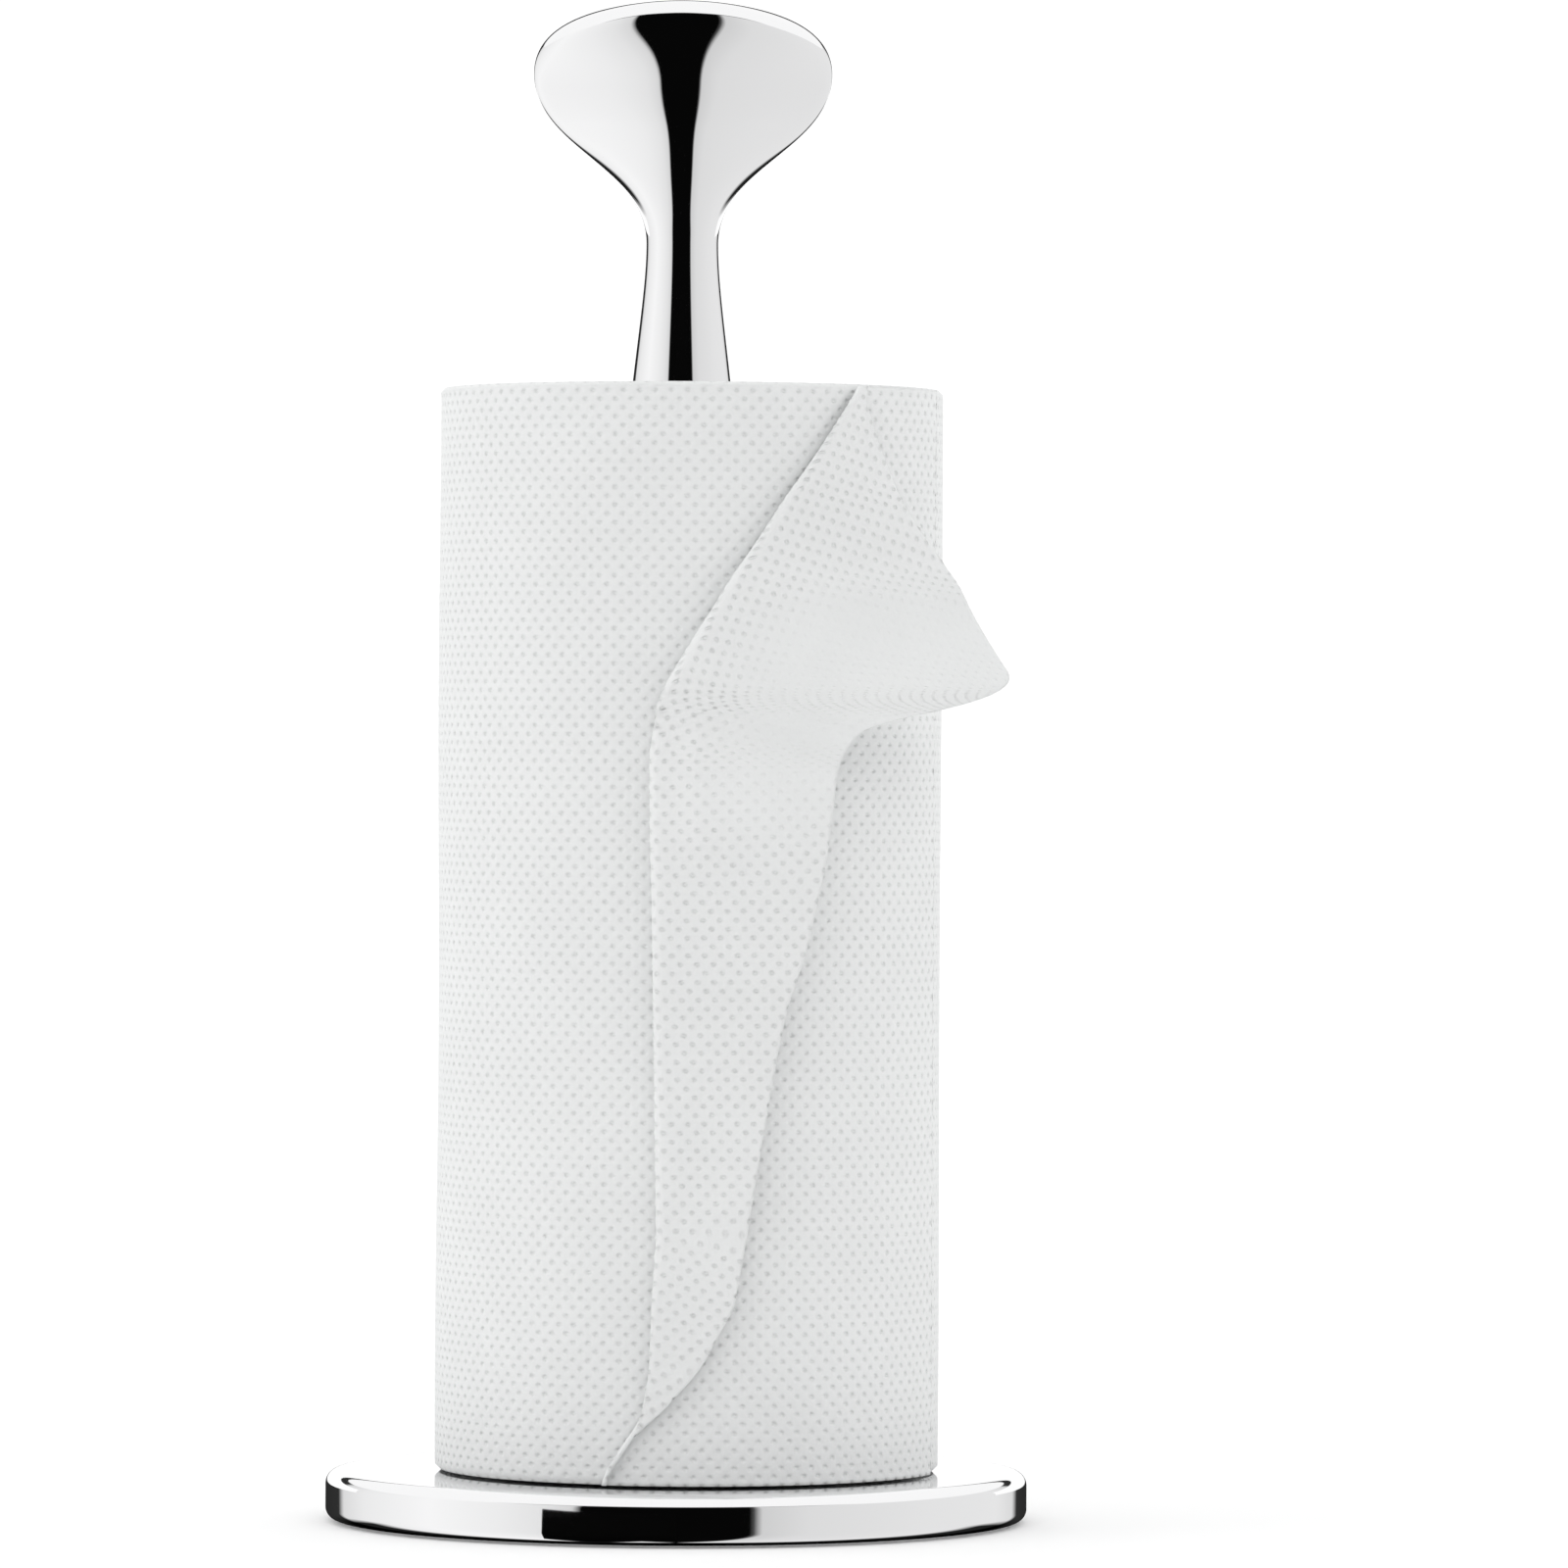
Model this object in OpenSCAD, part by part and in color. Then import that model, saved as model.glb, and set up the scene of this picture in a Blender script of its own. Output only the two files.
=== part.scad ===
// Free-standing holder for a roll of kitchen paper: a weighted base, a lift-off
// post whose top widens into a flattened knob, and the roll that it carries.
// Millimetres. The origin is the centre of the underside, on the post's axis, and
// +Z is up. The knob is wide along X, and the loose sheet faces -Y.

/* [Base] */
// Outer diameter of the polished base shell
base_d = 153.8; // [145:0.2:165]
// Height of the shell's flat top above the table
base_h = 11.2; // [11:0.2:13]
// Thickness of the pressed sheet steel
sheet_t = 1.2; // [1:0.1:1.4]
// Height of the shell's lowest edge above the table
shell_clear = 0.5; // [0.4:0.1:0.8]

/* [Centre pin] */
// Diameter of the pin that the post slips over
pin_d = 16; // [14:0.5:17]
// Height of the pin's tip above the table
pin_top = 150; // [120:1:170]
// Diameter of the screw that holds the pin down
screw_d = 6; // [5:0.5:6]

/* [Post and knob] */
// Height of the whole holder
post_top = 332.8; // [330:0.1:336]
// Diameter of the post at its foot
foot_d = 32.6; // [31.5:0.1:33]
// Diameter of the post at its widest, inside the roll
belly_d = 34; // [33:0.1:34.5]
// Diameter of the slim neck under the knob
neck_d = 15.7; // [14:0.1:17]
// Width of the knob
knob_w = 65.4; // [60:0.2:70]
// Thickness of the knob, front to back
knob_t = 38; // [34:0.5:40]
// Wall thickness of the hollow post
wall_t = 1.5; // [1.2:0.1:1.8]

/* [Paper roll] */
// Outer diameter of the roll of paper
roll_d = 111; // [90:1:120]
// Height of the roll
roll_h = 236.4; // [220:0.2:237]
// Inner diameter of the cardboard core
core_d = 41; // [40.5:0.1:43]
// Wall thickness of the cardboard core
core_t = 1.2; // [1:0.1:1.5]
// Distance from the post's axis to the roll's, because the roll hangs loose on the post
roll_shift = 2.2; // [1.5:0.1:2.3]

/* [Hidden] */
$fn = 96;

// Base, from the table up
base_r = base_d / 2;
crest_r = 3;
toe_r = 2.6;
lip_r = base_r - 8.8;
pad_t = 1.5;
plate_t = 1.2;
ballast_z = pad_t + plate_t;
ballast_top = base_h - sheet_t;
inner_r = lip_r - 0.4;
cover_screw_ring = 30;

// Pin, its screw and the parts that turn on it
pin_r = pin_d / 2;
spigot_r = pin_r - 2;
spigot_z = 8.6;
flange_r = pin_r + 3;
flange_t = 1;
pin_washer_z = 7;
head_z = 3.4;
screw_r = screw_d / 2;
ring_wire_r = 1;
ring_heights = [28, 133];
running_gap = 0.08;
washer_t = 1;
foot_z = base_h + flange_t + washer_t;
bush_r = foot_d / 2 - wall_t - 0.3;
bush_len = 26;
bush_heights = [foot_z + 1, pin_top - bush_len - 5];

// Post and knob: heights where one smooth curve hands over to the next
belly_z = 120;
neck_z = 280.1;
wide_z = 317.5;
deep_z = 328;

// Roll
roll_z = base_h + 0.5;
roll_top = roll_z + roll_h;
roll_r = roll_d / 2;
core_out_r = core_d / 2 + core_t;

// Loose sheet, drawn thicker than the paper is
leaf_t = 0.8;
leaf_r = roll_r + 0.5 + leaf_t / 2;
turn_r = 1.9;
flap_bend_r = 130;
tear_deg = 71.5;

// Point on a cubic curve through a and d, steered by b and c
function bezier(a, b, c, d, t) =
    pow(1 - t, 3) * a + 3 * pow(1 - t, 2) * t * b + 3 * (1 - t) * t * t * c + t * t * t * d;

// Outline from the foot to the crown as [half size, height]. The knob is an arch
// seen from the front and a drop seen from the side, so the two are given apart.
// leave, reach and rise steer the curves between the neck, the fullest place and
// the crown, and crown_part is how much of the half size goes over the top.
function outline(half, at_z, leave, reach, rise, crown_part) = concat(
    [for (i = [0:5]) bezier([foot_d / 2, foot_z], [foot_d / 2, foot_z + 40],
        [belly_d / 2, belly_z - 40], [belly_d / 2, belly_z], i / 6)],
    [for (i = [0:11]) bezier([belly_d / 2, belly_z], [belly_d / 2, belly_z + 110],
        [neck_d / 2, neck_z - 20], [neck_d / 2, neck_z], i / 12)],
    [for (i = [0:13]) bezier([neck_d / 2, neck_z], [neck_d / 2, neck_z + leave],
        [half, at_z - reach], [half, at_z], i / 14)],
    [for (i = [0:12]) bezier([half, at_z], [half, at_z + rise],
        [half * crown_part, post_top], [0, post_top], i / 12)]);

front_line = outline(knob_w / 2, wide_z, 17.1, 16.5, 5.8, 0.88);
side_line = outline(knob_t / 2, deep_z, 22, 26, post_top - deep_z, 0.92);
function half_at(line, z) =
    lookup(z, [for (p = line) [p[1], p[0]]]);

// 0 below low, 1 above high, and an eased slope between them
function ease(z, low, high) =
    let (t = max(0, min(1, (z - low) / (high - low)))) t * t * (3 - 2 * t);

// The knob's level sections have square shoulders and a gable front and back, with
// a soft ridge in the middle. They are round at the neck, and the gable fades again
// towards the crown.
ridge = 0.26;
function shoulder(z) = 2 + 2 * ease(z, 284, 316);
function gable(z) = 0.78 * ease(z, 281, 306) * (1 - 0.78 * ease(z, 314, 332));
function roof(s) = (sqrt(s * s + ridge * ridge) - ridge) / (sqrt(1 + ridge * ridge) - ridge);
function section(a, b, z) = [for (i = [0:47]) let (s = cos(i * 7.5))
    [a * s, b * sign(sin(i * 7.5)) * (1 - gable(z) * roof(s)) * sqrt(1 - pow(abs(s), shoulder(z))), z]];

// Section of the shell without its open underside, shrunk by inset on every side
module shell_section(inset) {
    crest_x = base_r - crest_r;
    crest_z = base_h - crest_r;
    toe_x = base_r - toe_r;
    toe_z = shell_clear + toe_r;
    translate([-1, shell_clear + inset]) square([toe_x + 1, 2 * (toe_r - inset)]);
    translate([-1, toe_z]) square([crest_x + 1, base_h - inset - toe_z]);
    translate([0, toe_z]) square([base_r - inset, crest_z - toe_z]);
    translate([crest_x, crest_z]) circle(crest_r - inset);
    translate([toe_x, toe_z]) circle(toe_r - inset);
}

module base_shell() {
    color("gainsboro") difference() {
        rotate_extrude($fn = 180) difference() {
            shell_section(0);
            shell_section(sheet_t);
            translate([-1, 0]) square([lip_r + 1, base_h / 2]);
            translate([-2, 0]) square([2, base_h + 1]);
        }
        cylinder(r = spigot_r + 0.05, h = base_h + 1);
    }
}

module ballast_disc() {
    color("dimgray") difference() {
        translate([0, 0, ballast_z]) cylinder(r = inner_r, h = ballast_top - ballast_z);
        translate([0, 0, 0]) cylinder(r = 9, h = pin_washer_z + 1);
        cylinder(r = spigot_r + 0.05, h = base_h);
        on_screw_ring() cylinder(r = 1.55, h = 8);
    }
}

module base_plate() {
    color("darkgray") difference() {
        translate([0, 0, pad_t]) cylinder(r = inner_r, h = plate_t);
        on_screw_ring() cylinder(r = 1.8, h = base_h);
    }
}

module non_slip_pad() {
    color("black") difference() {
        cylinder(r = inner_r - 4, h = pad_t);
        translate([0, 0, -1]) cylinder(r = cover_screw_ring + 8, h = pad_t + 2);
    }
}

module on_screw_ring() {
    for (a = [45:90:315])
        rotate([0, 0, a]) translate([cover_screw_ring, 0, 0]) children();
}

// Four pan-head screws that hold the base plate to the ballast
module cover_screws() {
    color("silver") on_screw_ring() difference() {
        union() {
            translate([0, 0, pad_t - 1.1]) cylinder(r = 2.8, h = 1.1);
            translate([0, 0, pad_t]) cylinder(r = 1.5, h = 6);
        }
        for (a = [0, 90])
            rotate([0, 0, a]) translate([-1.6, -0.3, 0]) cube([3.2, 0.6, pad_t - 0.5]);
    }
}

module centre_pin() {
    color("silver") difference() {
        union() {
            translate([0, 0, spigot_z]) cylinder(r = spigot_r, h = base_h - spigot_z);
            translate([0, 0, base_h]) cylinder(r = flange_r, h = flange_t);
            translate([0, 0, base_h + flange_t])
                cylinder(r = pin_r, h = pin_top - 2 - base_h - flange_t);
            translate([0, 0, pin_top - 2]) cylinder(r1 = pin_r, r2 = pin_r - 2, h = 2);
        }
        translate([0, 0, spigot_z - 1]) cylinder(r = screw_r + 0.05, h = 17);
        for (z = ring_heights) translate([0, 0, z - ring_wire_r - 0.1]) difference() {
            cylinder(r = pin_r + 1, h = 2 * ring_wire_r + 0.2);
            translate([0, 0, -1]) cylinder(r = pin_r - 2 * ring_wire_r - 0.05, h = 5);
        }
    }
}

module pin_washer() {
    color("lightgray") translate([0, 0, pin_washer_z]) difference() {
        cylinder(r = 8, h = 1);
        translate([0, 0, -1]) cylinder(r = screw_r + 0.2, h = 3);
    }
}

// Socket-head screw that pulls the pin's flange down on the shell
module pin_screw() {
    color("slategray") difference() {
        union() {
            translate([0, 0, head_z]) cylinder(r = 5, h = pin_washer_z - head_z);
            translate([0, 0, pin_washer_z]) cylinder(r = screw_r, h = 15);
        }
        translate([0, 0, head_z - 1]) cylinder(r = 2.8, h = 3.2, $fn = 6);
    }
}

// Two rubber rings that stop the post rattling on the pin
module grip_rings() {
    color("black") for (z = ring_heights)
        translate([0, 0, z]) rotate_extrude()
            translate([pin_r - ring_wire_r, 0]) circle(ring_wire_r);
}

// Glide between the post's foot and the base, with a skirt round the pin's flange
module foot_washer() {
    color("whitesmoke") difference() {
        translate([0, 0, base_h]) cylinder(r = foot_d / 2 + 0.1, h = flange_t + washer_t);
        translate([0, 0, base_h - 1]) cylinder(r = flange_r + 0.3, h = flange_t + 1);
        cylinder(r = pin_r + running_gap, h = 30);
    }
}

// One hollow piece, open at the foot: up the outside, over the crown, down the inside
module post() {
    levels = [for (i = [0:len(front_line) - 2]) front_line[i][1]];
    inside_levels = [for (i = [len(front_line) - 4:-1:8]) front_line[i][1]];
    rings = concat(
        [for (z = levels) section(half_at(front_line, z), half_at(side_line, z), z)],
        [for (z = inside_levels)
            section(half_at(front_line, z) - wall_t, half_at(side_line, z) - wall_t, z - 0.4)],
        [for (z = [pin_top + 8, foot_z]) section(bush_r, bush_r, z)]);
    count = len(rings);
    outer = len(levels);
    tip = count * 48;
    points = concat([for (r = rings) each r],
        [[0, 0, post_top], [0, 0, post_top - wall_t - 0.5]]);
    walls = [for (j = [0:count - 1]) if (j != outer - 1) for (i = [0:47])
        let (k = (j + 1) % count, n = (i + 1) % 48)
        [j * 48 + i, k * 48 + i, k * 48 + n, j * 48 + n]];
    caps = [for (i = [0:47]) let (n = (i + 1) % 48)
        each [[(outer - 1) * 48 + i, tip, (outer - 1) * 48 + n],
            [outer * 48 + n, tip + 1, outer * 48 + i]]];
    color("gainsboro") polyhedron(points, concat(walls, caps), convexity = 6);
}

module bush(z) {
    color("whitesmoke") translate([0, 0, z]) difference() {
        cylinder(r = bush_r, h = bush_len);
        translate([0, 0, -1]) cylinder(r = pin_r + running_gap, h = bush_len + 2);
    }
}

module lower_bush() { bush(bush_heights[0]); }

module upper_bush() { bush(bush_heights[1]); }

module core_tube() {
    color("burlywood") translate([roll_shift, 0, roll_z]) difference() {
        cylinder(r = core_out_r, h = roll_h);
        translate([0, 0, -1]) cylinder(d = core_d, h = roll_h + 2);
    }
}

module paper_roll() {
    color("white") translate([roll_shift, 0, roll_z]) difference() {
        cylinder(r = roll_r, h = roll_h);
        translate([0, 0, -1]) cylinder(r = core_out_r, h = roll_h + 2);
    }
}

// Where the sheet turns back, as degrees round the roll from the front, by height
function fold_deg(z) = lookup(z, [[roll_z, -17], [26, -10.5], [48, -8.5], [172, -8.5],
    [182, -5], [roll_top, 42]]);
// Length of paper past the fold, by height. The longest is the folded corner.
function flap_len(z) = lookup(z, [[26, 3], [50, 15], [114, 25], [172, 38], [177, 46],
    [184, 70], [roll_top - 4, 5]]);

// Level section of the sheet as [x, y, heading]: round the roll, over the fold, back
function leaf_path(z) = let (f = fold_deg(z), far = flap_len(z), start = leaf_r + 2 * turn_r)
    concat(
    [for (i = [0:17]) let (a = tear_deg + (f - tear_deg) * i / 17)
        [leaf_r * sin(a), -leaf_r * cos(a), a + 180]],
    [for (i = [1:5]) let (a = 36 * i, out = leaf_r + turn_r * (1 - cos(a)))
        [out * sin(f) - turn_r * sin(a) * cos(f), -out * cos(f) - turn_r * sin(a) * sin(f),
            f + 180 + a]],
    [for (i = [1:8]) let (d = far * i / 8, a = f + d / flap_bend_r * 180 / PI)
        [start * sin(f) + flap_bend_r * (sin(a) - sin(f)),
            -start * cos(f) + flap_bend_r * (cos(f) - cos(a)), a + 360]]);

function beside(p, z, off) = [p[0] - off * sin(p[2]), p[1] + off * cos(p[2]), z];

module loose_sheet() {
    heights = concat([for (i = [0:9]) roll_z + (172 - roll_z) * i / 9], [174.5],
        [for (i = [0:11]) 177 + (roll_top - 177) * i / 11]);
    around = 2 * 31;
    rings = [for (z = heights) let (path = leaf_path(z)) concat(
        [for (i = [0:30]) beside(path[i], z, leaf_t / 2)],
        [for (i = [30:-1:0]) beside(path[i], z, -leaf_t / 2)])];
    last = len(rings) - 1;
    walls = [for (j = [0:last - 1], i = [0:around - 1]) let (n = (i + 1) % around)
        each [[j * around + i, j * around + n, (j + 1) * around + n],
            [j * around + i, (j + 1) * around + n, (j + 1) * around + i]]];
    ends = [for (i = [0:29]) let (o = around - 1 - i)
        each [[i, o, o - 1], [i, o - 1, i + 1],
            [last * around + i, last * around + i + 1, last * around + o - 1],
            [last * around + i, last * around + o - 1, last * around + o]]];
    color("white") translate([roll_shift, 0, 0])
        polyhedron([for (r = rings) each r], concat(walls, ends), convexity = 10);
}

base_shell();
ballast_disc();
base_plate();
non_slip_pad();
cover_screws();
centre_pin();
pin_washer();
pin_screw();
grip_rings();
foot_washer();
post();
lower_bush();
upper_bush();
core_tube();
paper_roll();
loose_sheet();
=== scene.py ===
"""Free-standing holder for kitchen paper in mirror-polished steel, with a roll on it.

Metres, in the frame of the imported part: the origin is the centre of the underside,
+Z is up, the knob is wide along X and the loose sheet faces -Y.
"""

import bpy
import numpy as np
from mathutils import Matrix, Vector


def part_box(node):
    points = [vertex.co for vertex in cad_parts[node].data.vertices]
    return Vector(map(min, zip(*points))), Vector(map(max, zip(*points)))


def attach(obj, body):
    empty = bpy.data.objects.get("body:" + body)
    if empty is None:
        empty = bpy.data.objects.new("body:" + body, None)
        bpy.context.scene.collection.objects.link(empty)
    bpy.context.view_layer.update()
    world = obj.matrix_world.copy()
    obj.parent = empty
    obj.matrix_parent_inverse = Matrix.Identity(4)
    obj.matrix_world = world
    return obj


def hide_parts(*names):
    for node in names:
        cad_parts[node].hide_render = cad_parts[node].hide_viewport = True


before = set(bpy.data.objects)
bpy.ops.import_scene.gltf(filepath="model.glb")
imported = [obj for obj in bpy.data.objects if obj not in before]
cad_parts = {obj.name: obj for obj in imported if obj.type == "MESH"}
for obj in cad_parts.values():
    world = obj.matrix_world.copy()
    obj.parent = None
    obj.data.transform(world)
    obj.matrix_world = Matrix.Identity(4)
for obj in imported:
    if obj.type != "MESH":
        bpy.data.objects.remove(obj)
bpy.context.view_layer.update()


# ---------------------------------------------------------------- camera
# A long lens two metres away, level with the middle of the holder, so that the
# base is seen just from above and the roll's top edge just from below. The
# camera leans a third of a degree, as a hand-levelled tripod does.

camera = bpy.data.objects.new("camera", bpy.data.cameras.new("camera"))
bpy.context.scene.collection.objects.link(camera)
bpy.context.scene.camera = camera
camera.data.lens = 226
camera.data.sensor_width = 36
camera.data.clip_end = 50
eye = np.array([0.0, -2.160, 0.170])
target = np.array([0.0229, 0.0, 0.1618])
lean = np.radians(0.29)
forward = (target - eye) / np.linalg.norm(target - eye)
right = np.cross(forward, (0, 0, 1))
right /= np.linalg.norm(right)
up = np.cross(right, forward)
leaned_right = np.cos(lean) * right + np.sin(lean) * up
leaned_up = np.cos(lean) * up - np.sin(lean) * right
camera.matrix_world = Matrix(
    [[leaned_right[i], leaned_up[i], -forward[i], eye[i]] for i in range(3)] + [[0, 0, 0, 1]]
)
bpy.context.scene.view_settings.view_transform = "Standard"


# ---------------------------------------------------------------- base shell
# The visible base is one disc of stainless sheet, pressed into a shallow puck with
# rounded edges above and below, and its lower edge is turned in under itself. It is
# polished to a mirror, and the pin comes up through a hole in its middle.


def grid_faces(rows, cols, wrap):
    """Quads of a grid of rows x cols points, each joined to the next along the row
    and to the same place in the next row. With wrap, each row closes on itself."""
    r, c = np.meshgrid(np.arange(rows - 1), np.arange(cols if wrap else cols - 1), indexing="ij")
    d = (c + 1) % cols
    here, above = r * cols, (r + 1) * cols
    return np.stack([here + c, here + d, above + d, above + c], -1).reshape(-1, 4)


def put_mesh(name, points, faces, uv=None, triangles=(), turn=None):
    """A smooth-shaded object from one array of points and one of quads, with its
    place in its mesh. uv gives each point's own pattern coordinates. Where u goes
    round and starts again after one turn, the faces that cross over keep counting."""
    faces = np.asarray(faces)
    triangles = np.asarray(triangles, dtype=int).reshape(-1, 3)
    mesh = bpy.data.meshes.new(name)
    mesh.vertices.add(len(points))
    mesh.vertices.foreach_set("co", np.asarray(points, dtype=np.float32).ravel())
    loops = np.concatenate([faces.ravel(), triangles.ravel()]).astype(np.int32)
    starts = np.concatenate(
        [np.arange(len(faces)) * 4, len(faces) * 4 + np.arange(len(triangles)) * 3]
    )
    mesh.loops.add(len(loops))
    mesh.loops.foreach_set("vertex_index", loops)
    mesh.polygons.add(len(starts))
    mesh.polygons.foreach_set("loop_start", starts.astype(np.int32))
    mesh.polygons.foreach_set("use_smooth", np.ones(len(starts), dtype=bool))
    mesh.update(calc_edges=True)
    mesh.validate()
    if uv is not None:
        layer = mesh.uv_layers.new(name="pattern")
        corners = np.asarray(uv, dtype=np.float32)[loops]
        if turn is not None:
            u = corners[:, 0].reshape(-1, 4)
            crossing = (np.ptp(u, axis=1) > turn / 2)[:, None] & (u < turn / 2)
            corners[:, 0] = (u + turn * crossing).ravel()
        layer.data.foreach_set("uv", corners.ravel())
    piece = bpy.data.objects.new(name, mesh)
    bpy.context.scene.collection.objects.link(piece)
    return piece


def lathe(name, outline, turns, centre=(0.0, 0.0), closed=True):
    """The outline's (radius, height) points carried round the upright axis through
    centre: x = cx + r cos a, y = cy + r sin a, z = h. A closed outline joins its
    last point to its first, so the result is a ring with no open edge."""
    outline = np.asarray(outline)
    a = np.linspace(0, 2 * np.pi, turns, endpoint=False)
    if closed:
        outline = np.vstack([outline, outline[:1]])
    r, h = outline[:, :1], outline[:, 1:]
    points = np.stack(
        [centre[0] + r * np.cos(a), centre[1] + r * np.sin(a), h + 0 * a], -1
    ).reshape(-1, 3)
    faces = grid_faces(len(outline), turns, wrap=True)
    if closed:
        points = points[:-turns]
        faces = faces % len(points)
    return put_mesh(name, points, faces)


def arc(cx, cz, radius, start, end, steps):
    """Points of a round stretch of an outline, from one angle to another in degrees,
    measured from the outward direction towards up."""
    a = np.radians(np.linspace(start, end, steps))
    return np.stack([cx + radius * np.cos(a), cz + radius * np.sin(a)], -1)


class Value:
    """A socket that takes part in Python arithmetic, each operation as a Math node."""

    def __init__(self, recipe, socket):
        self.recipe = recipe
        self.socket = socket

    def _math(self, operation, *terms):
        return self.recipe.node("ShaderNodeMath", {"operation": operation}, dict(enumerate(terms)))

    def __add__(self, other):
        return self._math("ADD", self, other)

    def __sub__(self, other):
        return self._math("SUBTRACT", self, other)

    def __mul__(self, other):
        return self._math("MULTIPLY", self, other)

    def __truediv__(self, other):
        return self._math("DIVIDE", self, other)

    def __rsub__(self, other):
        return self._math("SUBTRACT", other, self)

    __radd__ = __add__
    __rmul__ = __mul__

    def sine(self):
        return self._math("SINE", self)

    def rounded(self):
        return self._math("ROUND", self)

    def between(self, low, high):
        """0 below low, 1 above high, and an even slope from one to the other."""
        return self.recipe.node(
            "ShaderNodeMapRange", {"clamp": True},
            {"Value": self, "From Min": low, "From Max": high},
        )


class Recipe:
    """A material's node tree with one Principled shader, or the world's tree."""

    def __init__(self, name, **finish):
        self.material = bpy.data.materials.new(name)
        self.material.use_nodes = True
        self.tree = self.material.node_tree
        self.shader = self.tree.nodes["Principled BSDF"]
        self.set(**{key.replace("_", " "): value for key, value in finish.items()})

    def set(self, **inputs):
        for key, value in inputs.items():
            self._feed(self.shader.inputs[key], value)

    def _feed(self, socket, value):
        if isinstance(value, Value):
            self.tree.links.new(value.socket, socket)
        elif isinstance(value, bpy.types.NodeSocket):
            self.tree.links.new(value, socket)
        else:
            socket.default_value = value

    def node(self, kind, settings, inputs, output=0):
        """Any node: its settings first, such as a Math node's operation or a ramp's
        stops, then the values or links of its sockets. Gives one of its outputs."""
        made = self.tree.nodes.new(kind)
        for key, value in settings.items():
            if key == "stops":
                ramp = made.color_ramp
                while len(ramp.elements) < len(value):
                    ramp.elements.new(0.5)
                for element, (place, colour) in zip(ramp.elements, value):
                    element.position = place
                    element.color = colour
            else:
                setattr(made, key, value)
        for key, value in inputs.items():
            self._feed(made.inputs[key], value)
        return Value(self, made.outputs[output])

    def place(self, scale=(1, 1, 1), at=(0, 0, 0)):
        """Object coordinates in metres, moved and stretched by a Mapping node."""
        spot = self.node("ShaderNodeTexCoord", {}, {}, "Object")
        return self.node(
            "ShaderNodeMapping", {}, {"Vector": spot, "Location": at, "Scale": scale}
        )

    def noise(self, where, scale, detail=3.0, rough=0.5):
        return self.node(
            "ShaderNodeTexNoise", {},
            {"Vector": where, "Scale": scale, "Detail": detail, "Roughness": rough},
        )

    def blend(self, mask, first, second):
        """The first colour where mask is 0, the second where it is 1."""
        return self.node(
            "ShaderNodeMix", {"data_type": "RGBA"}, {0: mask, 6: first, 7: second}, 2
        )

    def relief(self, height, depth, under=None):
        """A bump of that depth in metres, on top of an earlier one."""
        inputs = {"Height": height, "Distance": depth, "Strength": 1.0}
        if under is not None:
            inputs["Normal"] = under
        self.set(Normal=self.node("ShaderNodeBump", {}, inputs))


shell_low, shell_high = (np.array(corner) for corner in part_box("base_shell"))
base_r = (shell_high[0] - shell_low[0]) / 2
base_top = shell_high[2]
sheet_steel = 0.0012
crest_r, toe_r = 0.003, 0.0026
crest_z, toe_z = base_top - crest_r, shell_low[2] + toe_r
lip_r = base_r - 0.0088
pin_hole_r = 0.00605

shell_outline = np.vstack([
    [[pin_hole_r, base_top - sheet_steel]],
    arc(pin_hole_r + 0.0002, base_top - 0.0002, 0.0002, 180, 90, 4),
    np.linspace([pin_hole_r + 0.004, base_top], [base_r - crest_r - 0.002, base_top], 12),
    arc(base_r - crest_r, crest_z, crest_r, 90, 0, 17),
    arc(base_r - toe_r, toe_z, toe_r, 0, -90, 17),
    arc(lip_r + 0.0002, shell_low[2] + 0.0002, 0.0002, -90, -180, 4),
    [[lip_r, shell_low[2] + sheet_steel]],
    arc(base_r - toe_r, toe_z, toe_r - sheet_steel, -90, 0, 9),
    arc(base_r - crest_r, crest_z, crest_r - sheet_steel, 0, 90, 9),
])
base_shell = lathe("base_shell_polished", shell_outline[::-1], 256)

mirror_steel = Recipe("mirror_steel", Base_Color=(0.93, 0.93, 0.935, 1), Metallic=1.0)
polish_marks = mirror_steel.noise(mirror_steel.place(), 60, 4)
mirror_steel.set(Roughness=polish_marks * 0.02 + 0.025)

base_shell.data.materials.append(mirror_steel.material)
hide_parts("base_shell")
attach(base_shell, "base")


# ---------------------------------------------------------------- under the base
# A turned cast-iron disc fills the shell and keeps it from tipping. A zinc-plated
# steel plate closes it from below, held by four pan-head screws, and a moulded
# rubber ring is glued under the plate.


def finish_node(node, recipe):
    """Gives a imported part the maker's finish in every one of its slots."""
    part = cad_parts[node]
    part.data.materials.clear()
    part.data.materials.append(recipe.material)


cast_iron = Recipe("cast_iron", Metallic=0.7, Roughness=0.6)
casting_grain = cast_iron.noise(cast_iron.place(), 900, 5)
cast_iron.set(
    **{"Base Color": cast_iron.blend(casting_grain, (0.05, 0.05, 0.052, 1), (0.13, 0.13, 0.14, 1))}
)
cast_iron.relief(casting_grain, 0.0003)
finish_node("ballast_disc", cast_iron)

zinc_plate = Recipe("zinc_plate", Metallic=1.0)
rolled = zinc_plate.noise(zinc_plate.place(scale=(1, 30, 1)), 90, 4)
zinc_plate.set(
    **{
        "Base Color": zinc_plate.blend(rolled, (0.5, 0.51, 0.53, 1), (0.66, 0.67, 0.68, 1)),
        "Roughness": rolled * 0.25 + 0.25,
    }
)
zinc_plate.relief(rolled, 0.00008)
finish_node("base_plate", zinc_plate)
finish_node("cover_screws", zinc_plate)

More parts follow.
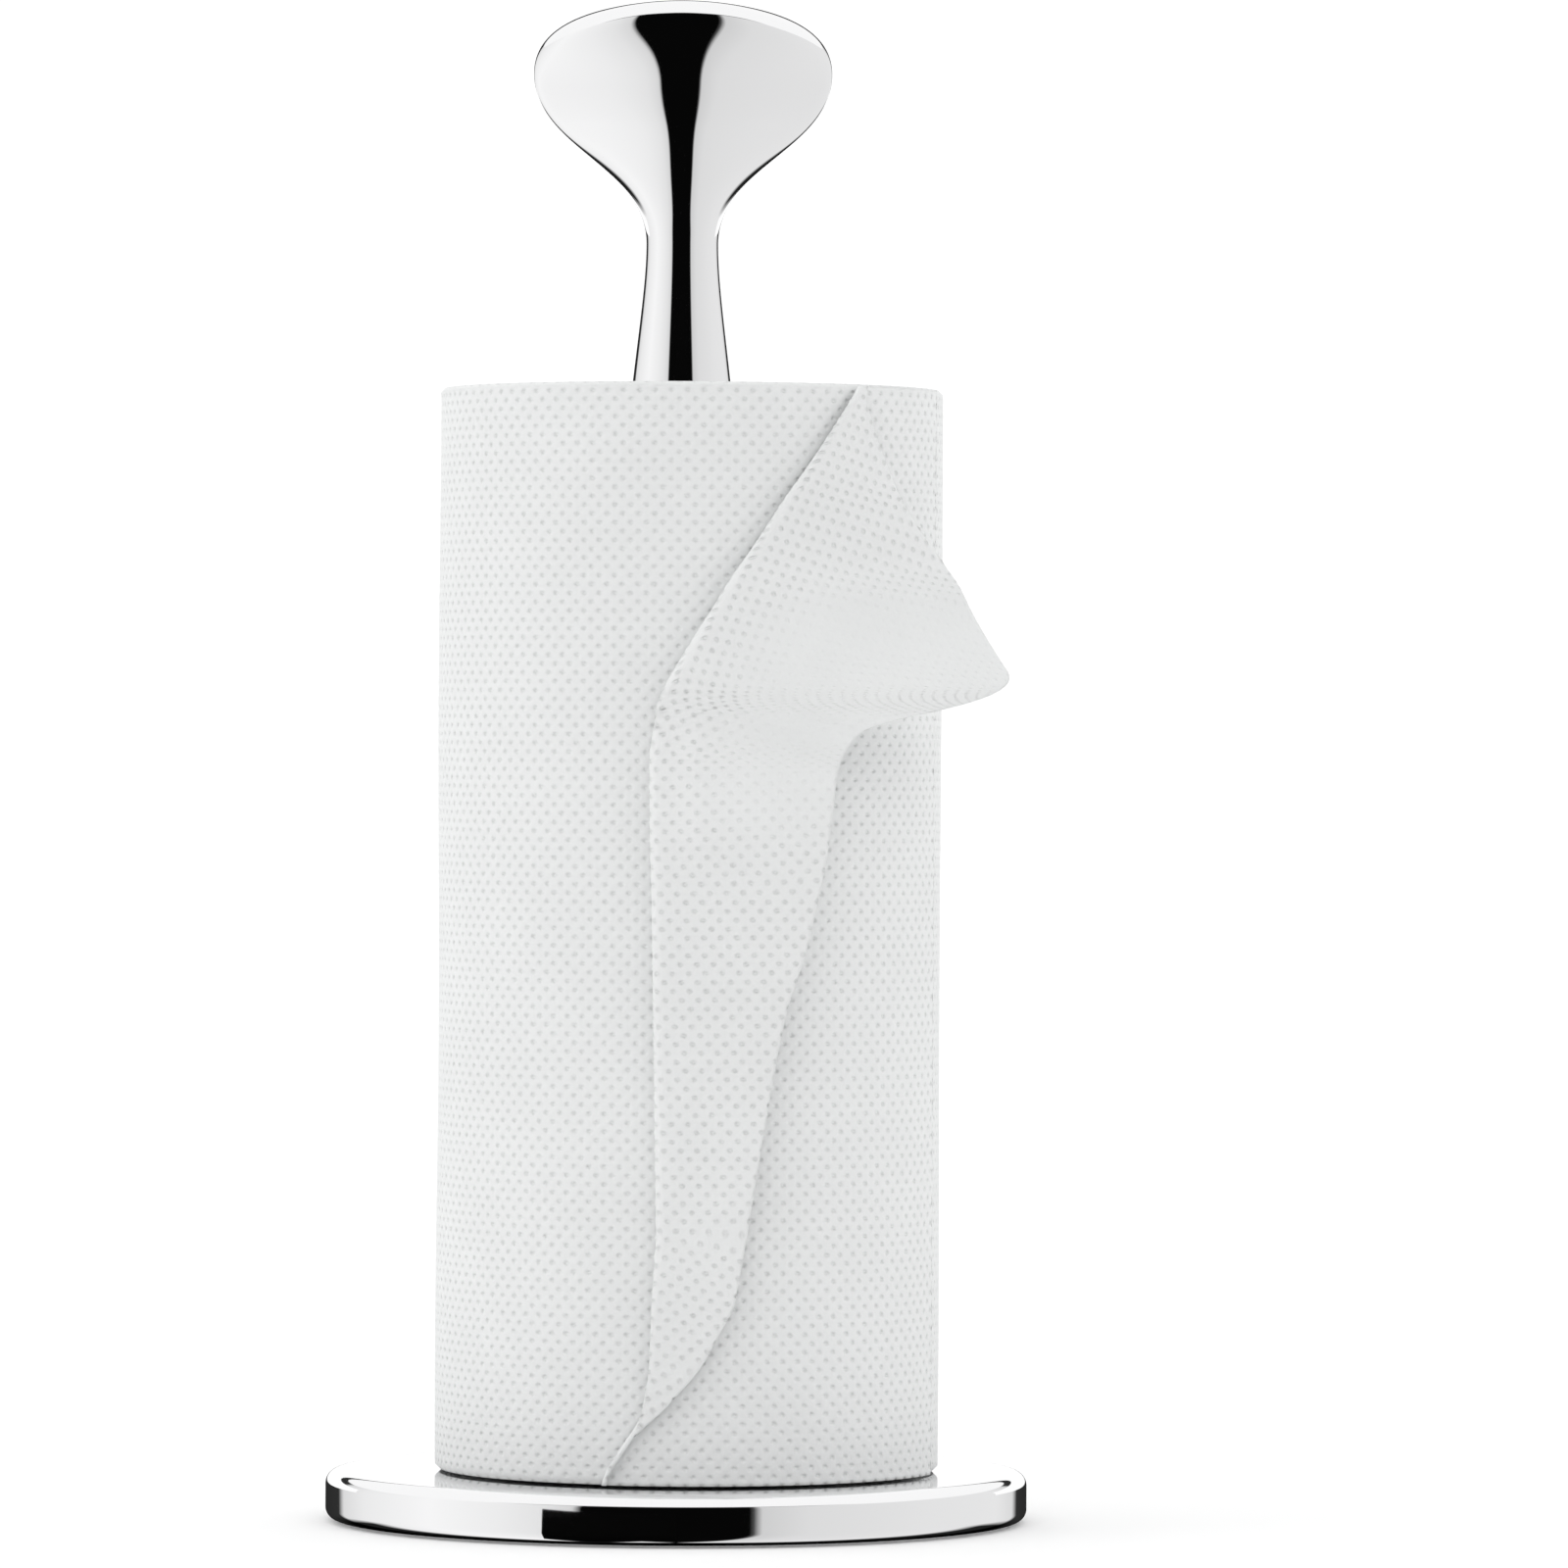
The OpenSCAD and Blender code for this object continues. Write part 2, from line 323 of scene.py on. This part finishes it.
black_rubber = Recipe("black_rubber", Roughness=0.75)
rubber_grain = black_rubber.noise(black_rubber.place(), 2500, 2)
black_rubber.set(
    **{"Base Color": black_rubber.blend(rubber_grain, (0.012, 0.012, 0.012, 1), (0.03, 0.03, 0.031, 1))}
)
black_rubber.relief(rubber_grain, 0.00015)
finish_node("non_slip_pad", black_rubber)


# ---------------------------------------------------------------- centre pin
# A turned steel pin stands on the shell, pulled down by one socket screw and its
# washer from below. Two rubber rings in its grooves stop the post rattling.

turned_steel = Recipe("turned_steel", Metallic=1.0)
tool_marks = turned_steel.node(
    "ShaderNodeTexWave", {"wave_type": "BANDS", "bands_direction": "Z"},
    {"Vector": turned_steel.place(), "Scale": 1500.0, "Distortion": 1.5, "Detail": 2.0},
    "Fac",
)
turned_steel.set(
    **{
        "Base Color": turned_steel.blend(tool_marks, (0.55, 0.55, 0.56, 1), (0.68, 0.68, 0.69, 1)),
        "Roughness": tool_marks * 0.15 + 0.2,
    }
)
turned_steel.relief(tool_marks, 0.00004)
for pin_part in ("centre_pin", "pin_washer", "pin_screw"):
    finish_node(pin_part, turned_steel)
finish_node("grip_rings", black_rubber)


# ---------------------------------------------------------------- glide and bushes
# The post stands on a white nylon glide, so that it turns without marking the
# polish, and two nylon bushes pressed into it run on the pin.

white_nylon = Recipe("white_nylon")
moulding = white_nylon.noise(white_nylon.place(), 400, 3)
white_nylon.set(
    **{
        "Base Color": white_nylon.blend(moulding, (0.78, 0.78, 0.75, 1), (0.86, 0.86, 0.84, 1)),
        "Roughness": moulding * 0.15 + 0.35,
    }
)
white_nylon.relief(moulding, 0.00005)
for nylon_part in ("foot_washer", "lower_bush", "upper_bush"):
    finish_node(nylon_part, white_nylon)


# ---------------------------------------------------------------- post and knob
# The post is one hollow piece of stainless steel. It is drawn in to a slim neck,
# and above that it opens into a flattened knob with square shoulders, where the
# round of the neck runs up the middle of each face as a soft ridge.


def cubic(a, b, c, d, t):
    """A curve from a to d that sets out towards b and arrives from c, weighted by
    the four terms of (t + (1 - t)) cubed."""
    t = np.asarray(t)[:, None]
    a, b, c, d = (np.asarray(p, dtype=float) for p in (a, b, c, d))
    return a * (1 - t) ** 3 + 3 * b * (1 - t) ** 2 * t + 3 * c * (1 - t) * t**2 + d * t**3


def smooth(x, low, high):
    """0 below low and 1 above high, easing in and out as 3t^2 - 2t^3."""
    t = np.clip((x - low) / (high - low), 0, 1)
    return t * t * (3 - 2 * t)


post_low, post_high = (np.array(corner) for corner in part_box("post"))
foot_r, belly_r, neck_r = 0.0163, 0.017, 0.00785
belly_z, neck_z, wide_z, deep_z = 0.120, 0.2801, 0.3175, 0.328
foot_z, post_top = post_low[2], post_high[2]
knob_half_w = post_high[0]
knob_half_t = post_high[1]


def post_line(half, at_z, leave_neck, reach_half, crown_rise, crown_part):
    """Outline from the foot to the crown as (half size, height), in four cubic
    stretches that share their tangents: foot to belly, belly to neck, neck to the
    knob's fullest place, and over the crown to the axis."""
    up_to = lambda n: np.linspace(0, 1, n, endpoint=False)
    return np.vstack([
        cubic([foot_r, foot_z], [foot_r, foot_z + 0.04], [belly_r, belly_z - 0.04],
              [belly_r, belly_z], up_to(20)),
        cubic([belly_r, belly_z], [belly_r, belly_z + 0.110], [neck_r, neck_z - 0.020],
              [neck_r, neck_z], up_to(50)),
        cubic([neck_r, neck_z], [neck_r, neck_z + leave_neck], [half, at_z - reach_half],
              [half, at_z], up_to(90)),
        cubic([half, at_z], [half, at_z + crown_rise], [half * crown_part, post_top],
              [0, post_top], np.linspace(0, 1, 120)),
    ])


face_line = post_line(knob_half_w, wide_z, 0.0171, 0.0165, 0.0058, 0.88)
edge_line = post_line(knob_half_t, deep_z, 0.022, 0.026, post_top - deep_z, 0.92)


def post_skin(inset):
    """Level sections of the post, as x = w s and y = d (1 - g roof(s)) (1 - |s|^m)^0.5
    with s = cos a, where w and d are the half sizes from the two outlines. At the
    neck m is 2 and g is 0, which is a circle. In the knob m grows to 4, which fills
    out the shoulders, and g lowers the face on both sides of a soft ridge. roof(s)
    goes from 0 in the middle to 1 at the sides, as (s^2 + c^2)^0.5 does."""
    levels = face_line[:-1, 1]
    half_w = face_line[:-1, 0] - inset
    half_t = np.interp(levels, edge_line[:, 1], edge_line[:, 0]) - inset
    shoulder = (2 + 2 * smooth(levels, 0.284, 0.316))[:, None]
    gable = 0.78 * smooth(levels, 0.281, 0.306) * (1 - 0.78 * smooth(levels, 0.314, 0.332))
    gable = gable[:, None]
    softness = 0.26
    a = np.linspace(0, 2 * np.pi, 192, endpoint=False)
    s = np.cos(a)
    roof = (np.sqrt(s**2 + softness**2) - softness) / (np.sqrt(1 + softness**2) - softness)
    across = half_w[:, None] * s
    deep = half_t[:, None] * np.sign(np.sin(a)) * (1 - gable * roof)
    deep = deep * np.sqrt(np.clip(1 - np.abs(s) ** shoulder, 0, None))
    return np.stack([across, deep, levels[:, None] + 0 * a], -1)


post_wall = 0.0015
outer = post_skin(0.0)
around = outer.shape[1]
count = len(outer)
drawn_in = (foot_r - post_wall) / foot_r
lip = outer[:1] * [drawn_in, drawn_in, 1]
hollow_rings = 70
inner_rings = np.concatenate([lip, post_skin(post_wall)[1:hollow_rings]])
post_points = np.concatenate([
    inner_rings[::-1].reshape(-1, 3), outer.reshape(-1, 3),
    [[0, 0, post_top], [0, 0, inner_rings[-1, 0, 2] + 0.001]],
])
post_rows = len(inner_rings) + count
crown, plug = len(post_points) - 2, len(post_points) - 1
i = np.arange(around)
j = (i + 1) % around
last = (post_rows - 1) * around
post = put_mesh(
    "post_polished", post_points, grid_faces(post_rows, around, wrap=True),
    triangles=np.vstack([
        np.stack([last + i, last + j, np.full(around, crown)], -1),
        np.stack([j, i, np.full(around, plug)], -1),
    ]),
)
post.data.materials.append(mirror_steel.material)
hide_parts("post")
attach(post, "post")


# ---------------------------------------------------------------- cardboard core
# The roll is wound on a tube of grey-brown board, itself wound from a strip on a
# slant. The board's fibre is given in colour and bump; its spiral seam is not drawn.

core_low, core_high = (np.array(corner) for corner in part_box("core_tube"))
core_board = Recipe("core_board", Roughness=0.9)
fibre = core_board.noise(core_board.place(scale=(1, 1, 0.3)), 700, 6)
core_board.set(
    **{"Base Color": core_board.blend(fibre, (0.33, 0.24, 0.16, 1), (0.55, 0.43, 0.31, 1))}
)
core_board.relief(fibre, 0.0002)
finish_node("core_tube", core_board)


# ---------------------------------------------------------------- paper roll
# Two-ply white kitchen paper wound on the core. Each layer is embossed with rows
# of small dots, every other row set half a step across, and the outside shows the
# last full turn. The ends show the edges of the layers.

roll_low, roll_high = (np.array(corner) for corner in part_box("paper_roll"))
roll_x = (roll_low[0] + roll_high[0]) / 2
roll_r = (roll_high[1] - roll_low[1]) / 2
core_r = (core_high[1] - core_low[1]) / 2
roll_bottom, roll_top = roll_low[2], roll_high[2]
dot_step = 2 * np.pi * roll_r / 99
row_step = (roll_top - roll_bottom) / 125


def dots(across, along):
    """Depth of the embossing, 0 to 1, at places in metres across and along the
    sheet: the larger of two grids of round pits set half a step apart, each pit
    falling off as exp(-d^2)."""
    wide, tall = 0.00075, 0.00058

    def pits(x, y):
        dx = (x / dot_step - np.round(x / dot_step)) * dot_step
        dy = (y / (2 * row_step) - np.round(y / (2 * row_step))) * 2 * row_step
        return np.exp(-(dx / wide) ** 2 - (dy / tall) ** 2)

    return np.maximum(pits(across, along), pits(across + dot_step / 2, along + row_step))


def slow_waves(a, h, seed):
    """Gentle unevenness of wound paper, about -1 to 1: a sum of six slanting sine
    waves round the roll and along it, with fixed seeded phases."""
    rng = np.random.default_rng(seed)
    total = 0 * (a + h)
    for _ in range(6):
        turns = rng.integers(1, 7)
        climb = rng.uniform(-60, 60)
        phase = rng.uniform(0, 2 * np.pi)
        total = total + np.sin(turns * a + climb * h + phase)
    return total / 3


side_cols, side_rows, end_rows = 396, 251, 170
emboss_depth = 0.00028
a = np.linspace(0, 2 * np.pi, side_cols, endpoint=False)
h = np.linspace(roll_bottom, roll_top, side_rows)[:, None]
edge_round = 0.0009
depth_in = np.minimum(h - roll_bottom, roll_top - h)
rounding = edge_round - np.sqrt(
    np.clip(edge_round**2 - np.clip(edge_round - depth_in, 0, None) ** 2, 0, None)
)
fade_at_ends = smooth(depth_in, 0, 0.002)
wound_in = 0.0004
unevenness = 0.0002 * slow_waves(a, h, 4) - emboss_depth * dots(a * roll_r, h - roll_bottom)
side_r = roll_r - wound_in - rounding + fade_at_ends * unevenness
side_points = np.stack([roll_x + side_r * np.cos(a), side_r * np.sin(a), h + 0 * a], -1)
side_uv = np.stack([(a + 0 * h) * roll_r, h - roll_bottom + 0 * a], -1)
paper_side = put_mesh(
    "paper_roll_side", side_points.reshape(-1, 3), grid_faces(side_rows, side_cols, wrap=True),
    uv=side_uv.reshape(-1, 2), turn=2 * np.pi * roll_r,
)

white_paper = Recipe("white_paper", Roughness=0.95)
white_paper.set(**{"Specular IOR Level": 0.15})
pattern = white_paper.node("ShaderNodeUVMap", {"uv_map": "pattern"}, {})
axes = [
    white_paper.node("ShaderNodeSeparateXYZ", {}, {"Vector": pattern}, axis) for axis in (0, 1)
]


def pit_mask(recipe, across, along):
    """The same round pits as the mesh has, but sharper, for the paper's fine relief and the painted
    shade in its pits.
    """
    dx = across / dot_step
    dy = along / (2 * row_step)
    wide, tall = 0.00052, 0.0004
    dx = (dx - dx.rounded()) * (dot_step / wide)
    dy = (dy - dy.rounded()) * (2 * row_step / tall)
    return recipe.node("ShaderNodeMath", {"operation": "EXPONENT"}, {0: (dx * dx + dy * dy) * -1.0})


pit = pit_mask(white_paper, *axes) + pit_mask(
    white_paper, axes[0] + dot_step / 2, axes[1] + row_step
)
ironed_out = white_paper.node("ShaderNodeAttribute", {"attribute_name": "ironed"}, {}, "Fac")
pit = pit * (1 - ironed_out)
pulp = white_paper.noise(white_paper.place(), 1500, 6, 0.6)
cloudy = white_paper.noise(white_paper.place(), 45, 3)
# Pulp and cloud are the paper's own uneven tone; the pits are painted darker, as shade in their
# hollows.
paper_tone_and_pit_shade = pulp * 0.5 + cloudy * 0.5 + pit * -0.25 + 0.15
white_paper.set(
    **{"Base Color": white_paper.blend(paper_tone_and_pit_shade, (0.80, 0.81, 0.808, 1), (0.91, 0.92, 0.917, 1))}
)
white_paper.relief(pulp * 0.25 - pit, 0.00036)
paper_side.data.materials.append(white_paper.material)
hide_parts("paper_roll")
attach(paper_side, "roll")


def roll_end(name, level, facing):
    """The edges of the layers as a ring, rippled by the winding: the height is a
    sine of the radius, which drifts by one layer in a full turn. The ripple dies
    away at the rim, where the ring meets the side."""
    a = np.linspace(0, 2 * np.pi, side_cols // 2, endpoint=False)
    outer_r = roll_r - wound_in - edge_round
    r = np.linspace(core_r, outer_r, end_rows)[:, None]
    layer = 0.0009
    ripple = 0.00016 * np.sin(2 * np.pi * r / layer - a) + 0.0003 * slow_waves(a, r * 9, 11)
    sunk = (0.0005 - ripple) * smooth(outer_r - r, 0, 0.0015)
    z = level - facing * sunk
    points = np.stack([roll_x + r * np.cos(a), r * np.sin(a), z], -1)
    if facing > 0:
        points = points[::-1]
    end = put_mesh(name, points.reshape(-1, 3), grid_faces(end_rows, side_cols // 2, wrap=True))
    end.data.materials.append(paper_ends.material)
    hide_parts("paper_roll")
    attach(end, "roll")
    return end


paper_ends = Recipe("paper_ends", Roughness=0.95)
paper_ends.set(**{"Specular IOR Level": 0.15})
layers = paper_ends.noise(paper_ends.place(at=(-roll_x, 0, 0)), 900, 5)
paper_ends.set(
    **{"Base Color": paper_ends.blend(layers, (0.74, 0.75, 0.747, 1), (0.9, 0.91, 0.907, 1))}
)
paper_ends.relief(layers, 0.0002)
roll_end("paper_roll_top", roll_top, 1)
roll_end("paper_roll_bottom", roll_bottom, -1)


# ---------------------------------------------------------------- loose sheet
# The last sheet hangs on by its row of perforations on the right. It goes round
# the front of the roll, turns over in a soft fold and comes back to the right,
# and its upper corner is folded down on the slant and stands clear of the roll.

tear_a = np.radians(71.5)
leaf_gap = 0.0007
curve_r = 0.13


def by_height(h, table):
    """A smooth curve through a few (height in mm, value) pairs, by height in m:
    straight lines between them, eased by averaging over a window of 5 mm."""
    heights, values = np.array(table, dtype=float).T
    window = np.linspace(-2.5, 2.5, 21)
    return np.interp(h[..., None] * 1000 + window, heights, values).mean(-1)


# By height in mm: where the fold is, in degrees round the roll from the front, how
# far the flap reaches past it in mm, and the radius of the turn in mm
fold_at = [
    [13, -18], [19, -14], [26, -9], [36, -7], [48, -6.3], [65, -4.9], [97, -5.1], [140, -5.4],
    [168, -6], [180, -4.5], [187, -0.8], [205, 9.8], [224, 22.5], [246, 39], [250, 42],
]
flap_reach = [
    [24, 0.5], [27, 3], [37, 10], [50, 16.3], [65, 17.7], [82, 20.5], [102, 24], [114, 26.5],
    [127, 31], [147, 35.4], [164, 38], [170, 40], [175, 44], [177, 56], [179, 66],
    [182, 73], [184, 76], [188, 71], [205, 51], [222, 27.5], [236, 11.5], [246, 1], [250, 0.5],
]
turn_size = [[13, 0.6], [60, 1.6], [150, 2.6], [190, 2.2], [248, 0.6]]


def leaf(h, u):
    """The sheet's middle surface. h is height, u runs from 0 at the perforations to
    1 at the free edge. A level section is an arc round the roll as far as the fold,
    a half turn of a small radius, and a flap that comes back on a large arc. Soft
    hills and hollows, each exp(-d^2), are added to the flap along its own normal."""
    fold = np.radians(by_height(h, fold_at))
    flap = by_height(h, flap_reach) / 1000
    turn = by_height(h, turn_size) / 1000
    wrap_r = roll_r + leaf_gap
    wrap = (tear_a - fold) * wrap_r
    bend = np.pi * turn
    length = wrap + bend + flap
    d = u * length
    in_wrap = np.clip(d, 0, wrap)
    in_bend = np.clip(d - wrap, 0, bend)
    in_flap = np.clip(d - wrap - bend, 0, None)
    a = tear_a - in_wrap / wrap_r
    b = in_bend / turn
    out = wrap_r + turn * (1 - np.cos(b))
    side = turn * np.sin(b)
    f = in_flap / curve_r
    on_flap = in_flap > 0
    x = out * np.sin(a) - side * np.cos(a) + curve_r * (np.sin(fold + f) - np.sin(fold)) * on_flap
    y = -out * np.cos(a) - side * np.sin(a) + curve_r * (np.cos(fold) - np.cos(fold + f)) * on_flap
    mm, up_mm = in_flap * 1000, h * 1000
    swell = 0 * mm
    for at_d, at_h, wide, tall, slant, rise in flap_swells:
        across = (mm - at_d) + slant * (up_mm - at_h)
        swell = swell + rise * np.exp(-(across / wide) ** 2 - ((up_mm - at_h) / tall) ** 2)
    swell = swell * smooth(mm, 0, 9) / 1000
    x = x + swell * np.sin(fold + f)
    y = y - swell * np.cos(fold + f)
    fold_across = np.sin(fold[:, :1]) * wrap_r
    lean = np.arctan2(np.gradient(fold_across, axis=0), np.gradient(h[:, :1], axis=0))
    flat = np.stack([d - in_flap + in_flap * np.cos(2 * lean), h + in_flap * np.sin(2 * lean)], -1)
    return np.stack([roll_x + x, y, h + 0 * x], -1), in_flap, flat


# Each swell of the flap in mm: distance from the fold, height, half width, half
# height, slant across per mm of height, and how far it stands out
flap_swells = [
    [30, 204, 40, 5, 0.0, 0.9],
    [48, 192, 22, 12, 0.0, -1.6],
    [7, 163, 6, 15, 0.0, 1.0],
    [27, 170, 11, 7, 1.0, -2.6],
    [20, 151, 13, 9, 0.4, 1.8],
    [15, 119, 13, 3, -1.2, 0.5],
    [9, 84, 7, 22, 0.0, -0.6],
]

leaf_cols, leaf_rows = 150, 290
u = np.linspace(0, 1, leaf_cols)[None, :]
h = np.linspace(roll_bottom, roll_top - 0.0005, leaf_rows)[:, None] + 0 * u
middle, past_fold, flat = leaf(h, u)
du = np.gradient(middle, axis=1)
dh = np.gradient(middle, axis=0)
normal = np.cross(du, dh)
normal /= np.linalg.norm(normal, axis=-1, keepdims=True)
flat_up = flat[..., 1] - roll_bottom
# The folded-down flap is pulled nearly smooth below its crease
ironed = 0.75 * smooth(past_fold, 0.0, 0.025) * smooth(h, 0.140, 0.172)
ironed = ironed * (1 - smooth(h, 0.196, 0.214))
# Between the small bridges that still hold it, the torn edge stands back
stands_back = np.where(np.arange(leaf_rows) % 6 < 4, 0.0009, 0.0)
emboss = dots(flat[..., 0], flat_up) * (1 - ironed)
along_sheet = du[:, :1] / np.linalg.norm(du[:, :1], axis=-1, keepdims=True)
middle = middle + normal * (emboss_depth * emboss)[..., None]
middle[:, :1] += along_sheet * stands_back[:, None, None]
paper_t = 0.00025
front = middle + normal * paper_t / 2
back = middle - normal * paper_t / 2
leaf_points = np.concatenate([front.reshape(-1, 3), back.reshape(-1, 3)])
leaf_uv = np.stack([flat[..., 0], flat_up], -1).reshape(-1, 2)
n = leaf_cols * leaf_rows
front_faces = grid_faces(leaf_rows, leaf_cols, wrap=False)
index = np.arange(n).reshape(leaf_rows, leaf_cols)
rim = np.concatenate([index[0, :-1], index[:-1, -1], index[-1, :0:-1], index[:0:-1, 0]])
rim_next = np.roll(rim, -1)
rim_faces = np.stack([rim, rim + n, rim_next + n, rim_next], -1)
loose_sheet = put_mesh(
    "loose_sheet_leaf", leaf_points,
    np.concatenate([front_faces, front_faces[:, ::-1] + n, rim_faces]),
    uv=np.concatenate([leaf_uv, leaf_uv]),
)
smoothed = loose_sheet.data.attributes.new("ironed", "FLOAT", "POINT")
smoothed.data.foreach_set("value", np.tile(ironed.ravel(), 2).astype(np.float32))
loose_sheet.data.materials.append(white_paper.material)
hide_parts("loose_sheet")
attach(loose_sheet, "roll")


# ---------------------------------------------------------------- floor and light
# A white sweep in a white tent. The tent's front is open, so the polished steel
# shows the dark room there, and dark screens behind give its outline an edge. What
# the steel sees and what lights the paper and the floor are set apart from each other.

floor_half = 6.0
floor = put_mesh(
    "floor",
    [[-floor_half, -floor_half, 0], [floor_half, -floor_half, 0],
     [floor_half, floor_half, 0], [-floor_half, floor_half, 0]],
    [[0, 1, 2, 3]],
)
floor_white = Recipe("floor_white", Roughness=1.0, Base_Color=(0.95, 0.95, 0.95, 1))
floor_white.set(**{"Specular IOR Level": 0.0})
floor.data.materials.append(floor_white.material)
floor.visible_glossy = False

card_y, card_top = 0.9, 0.27
back_card = put_mesh(
    "back_card",
    [[-1.2, card_y, 0], [1.2, card_y, 0], [1.2, card_y, card_top], [-1.2, card_y, card_top]],
    [[0, 1, 2, 3]],
)
card_white = Recipe("card_white", Roughness=1.0, Base_Color=(0, 0, 0, 1))
card_white.set(**{"Emission Color": (1, 1, 1, 1), "Emission Strength": 1.05})
back_card.data.materials.append(card_white.material)
back_card.visible_diffuse = False
back_card.visible_camera = False
back_card.visible_shadow = False

# A black card on the table, front left, reaches to the base. Like the white one
# behind, it is there for the steel alone, and the steel doesn't see the floor.
card_z, card_far = 0.0001, -0.2295
dark_card = put_mesh(
    "dark_card",
    [[-0.0287, -0.0713, card_z], [-0.1816, card_far, card_z],
     [0.0, card_far, card_z], [0.0, -0.0780, card_z]],
    [[0, 1, 2, 3]],
)
card_black = Recipe("card_black", Roughness=1.0, Base_Color=(0.002, 0.002, 0.002, 1))
card_black.set(**{"Specular IOR Level": 0.0})
dark_card.data.materials.append(card_black.material)
dark_card.visible_diffuse = False
dark_card.visible_camera = False
dark_card.visible_shadow = False

world = bpy.data.worlds.new("studio")
world.use_nodes = True
bpy.context.scene.world = world


class Sky(Recipe):
    """The world's node tree, with its Background as the shader."""

    def __init__(self, world):
        self.tree = world.node_tree
        self.shader = self.tree.nodes["Background"]

    def ramp(self, angle, stops):
        """Grey levels by angle in degrees, with straight lines between the stops."""
        low, high = stops[0][0], stops[-1][0]
        colours = [((at - low) / (high - low), (v, v, v, 1)) for at, v in stops]
        return self.node(
            "ShaderNodeValToRGB", {"stops": colours},
            {"Fac": angle.between(np.radians(low), np.radians(high))},
        )


sky = Sky(world)
direction = sky.node("ShaderNodeTexCoord", {}, {}, "Generated")
dx, dy, dz = (
    sky.node("ShaderNodeSeparateXYZ", {}, {"Vector": direction}, axis) for axis in range(3)
)
azimuth = sky.node("ShaderNodeMath", {"operation": "ARCTAN2"}, {0: dx, 1: dy * -1.0})
height = sky.node("ShaderNodeMath", {"operation": "ARCSINE"}, {0: dz})

# What the steel sees below the ceiling, from straight behind on the left, past the
# open front in the middle, to straight behind on the right
round_the_tent = sky.ramp(azimuth, [
    (-180, 0.02), (-146, 0.03), (-141, 0.74), (-124, 0.88), (-88, 0.99), (-60, 0.9),
    (-44, 0.82), (-34, 0.72), (-31, 0.002), (25, 0.002), (28, 0.66), (44, 0.76), (90, 0.82),
    (130, 0.84), (145, 0.74), (150, 0.03), (180, 0.02),
])
ceiling_from, seam_from = np.radians([21.0, 19.0])
above_seam = height.between(ceiling_from - 0.004, ceiling_from + 0.004)
below_seam = 1 - height.between(seam_from - 0.004, seam_from + 0.004)
seam_tone = sky.ramp(azimuth, [(-66, 1.0), (-44, 0.1), (44, 0.1), (66, 1.0)])
seen_in_steel = (
    round_the_tent * below_seam + above_seam + seam_tone * (1 - below_seam) * (1 - above_seam)
)

# Low down at the sides and behind, the tent stops short of the table
beside = 1 - sky.ramp(azimuth, [(-126, 0.0), (-112, 1.0), (112, 1.0), (126, 0.0)])
low_down = 1 - height.between(np.radians(-22), np.radians(-12))
seen_in_steel = seen_in_steel * (1 - 0.98 * beside * low_down)

# What lights the paper and the floor
open_front = sky.ramp(azimuth, [(-72, 0.0), (-42, 1.0), (42, 1.0), (72, 0.0)])
ceiling_light, side_light = 1.2, 0.8
overhead = height.between(np.radians(20), np.radians(28))
even_light = overhead * ceiling_light + (1 - overhead) * (side_light - open_front * 0.7)

is_glossy, is_camera = (
    sky.node("ShaderNodeLightPath", {}, {}, name) for name in ("Is Glossy Ray", "Is Camera Ray")
)
backdrop = 1.1
unseen = is_glossy * seen_in_steel + (1 - is_glossy) * even_light
sky.set(Strength=is_camera * backdrop + (1 - is_camera) * unseen, Color=(1, 1, 1, 1))

# One lamp from the left rakes across the paper and brings up its embossing
key = bpy.data.objects.new("key", bpy.data.lights.new("key", "SUN"))
key.data.energy = 0.2
key.data.angle = np.radians(20)
towards_key = np.array([-1.0, -0.35, 0.55])
key_z = towards_key / np.linalg.norm(towards_key)
key_x = np.cross((0, 0, 1.0), key_z)
key_x /= np.linalg.norm(key_x)
key_y = np.cross(key_z, key_x)
key.matrix_world = Matrix([[key_x[k], key_y[k], key_z[k], 0] for k in range(3)] + [[0, 0, 0, 1]])
key.visible_glossy = False
bpy.context.scene.collection.objects.link(key)
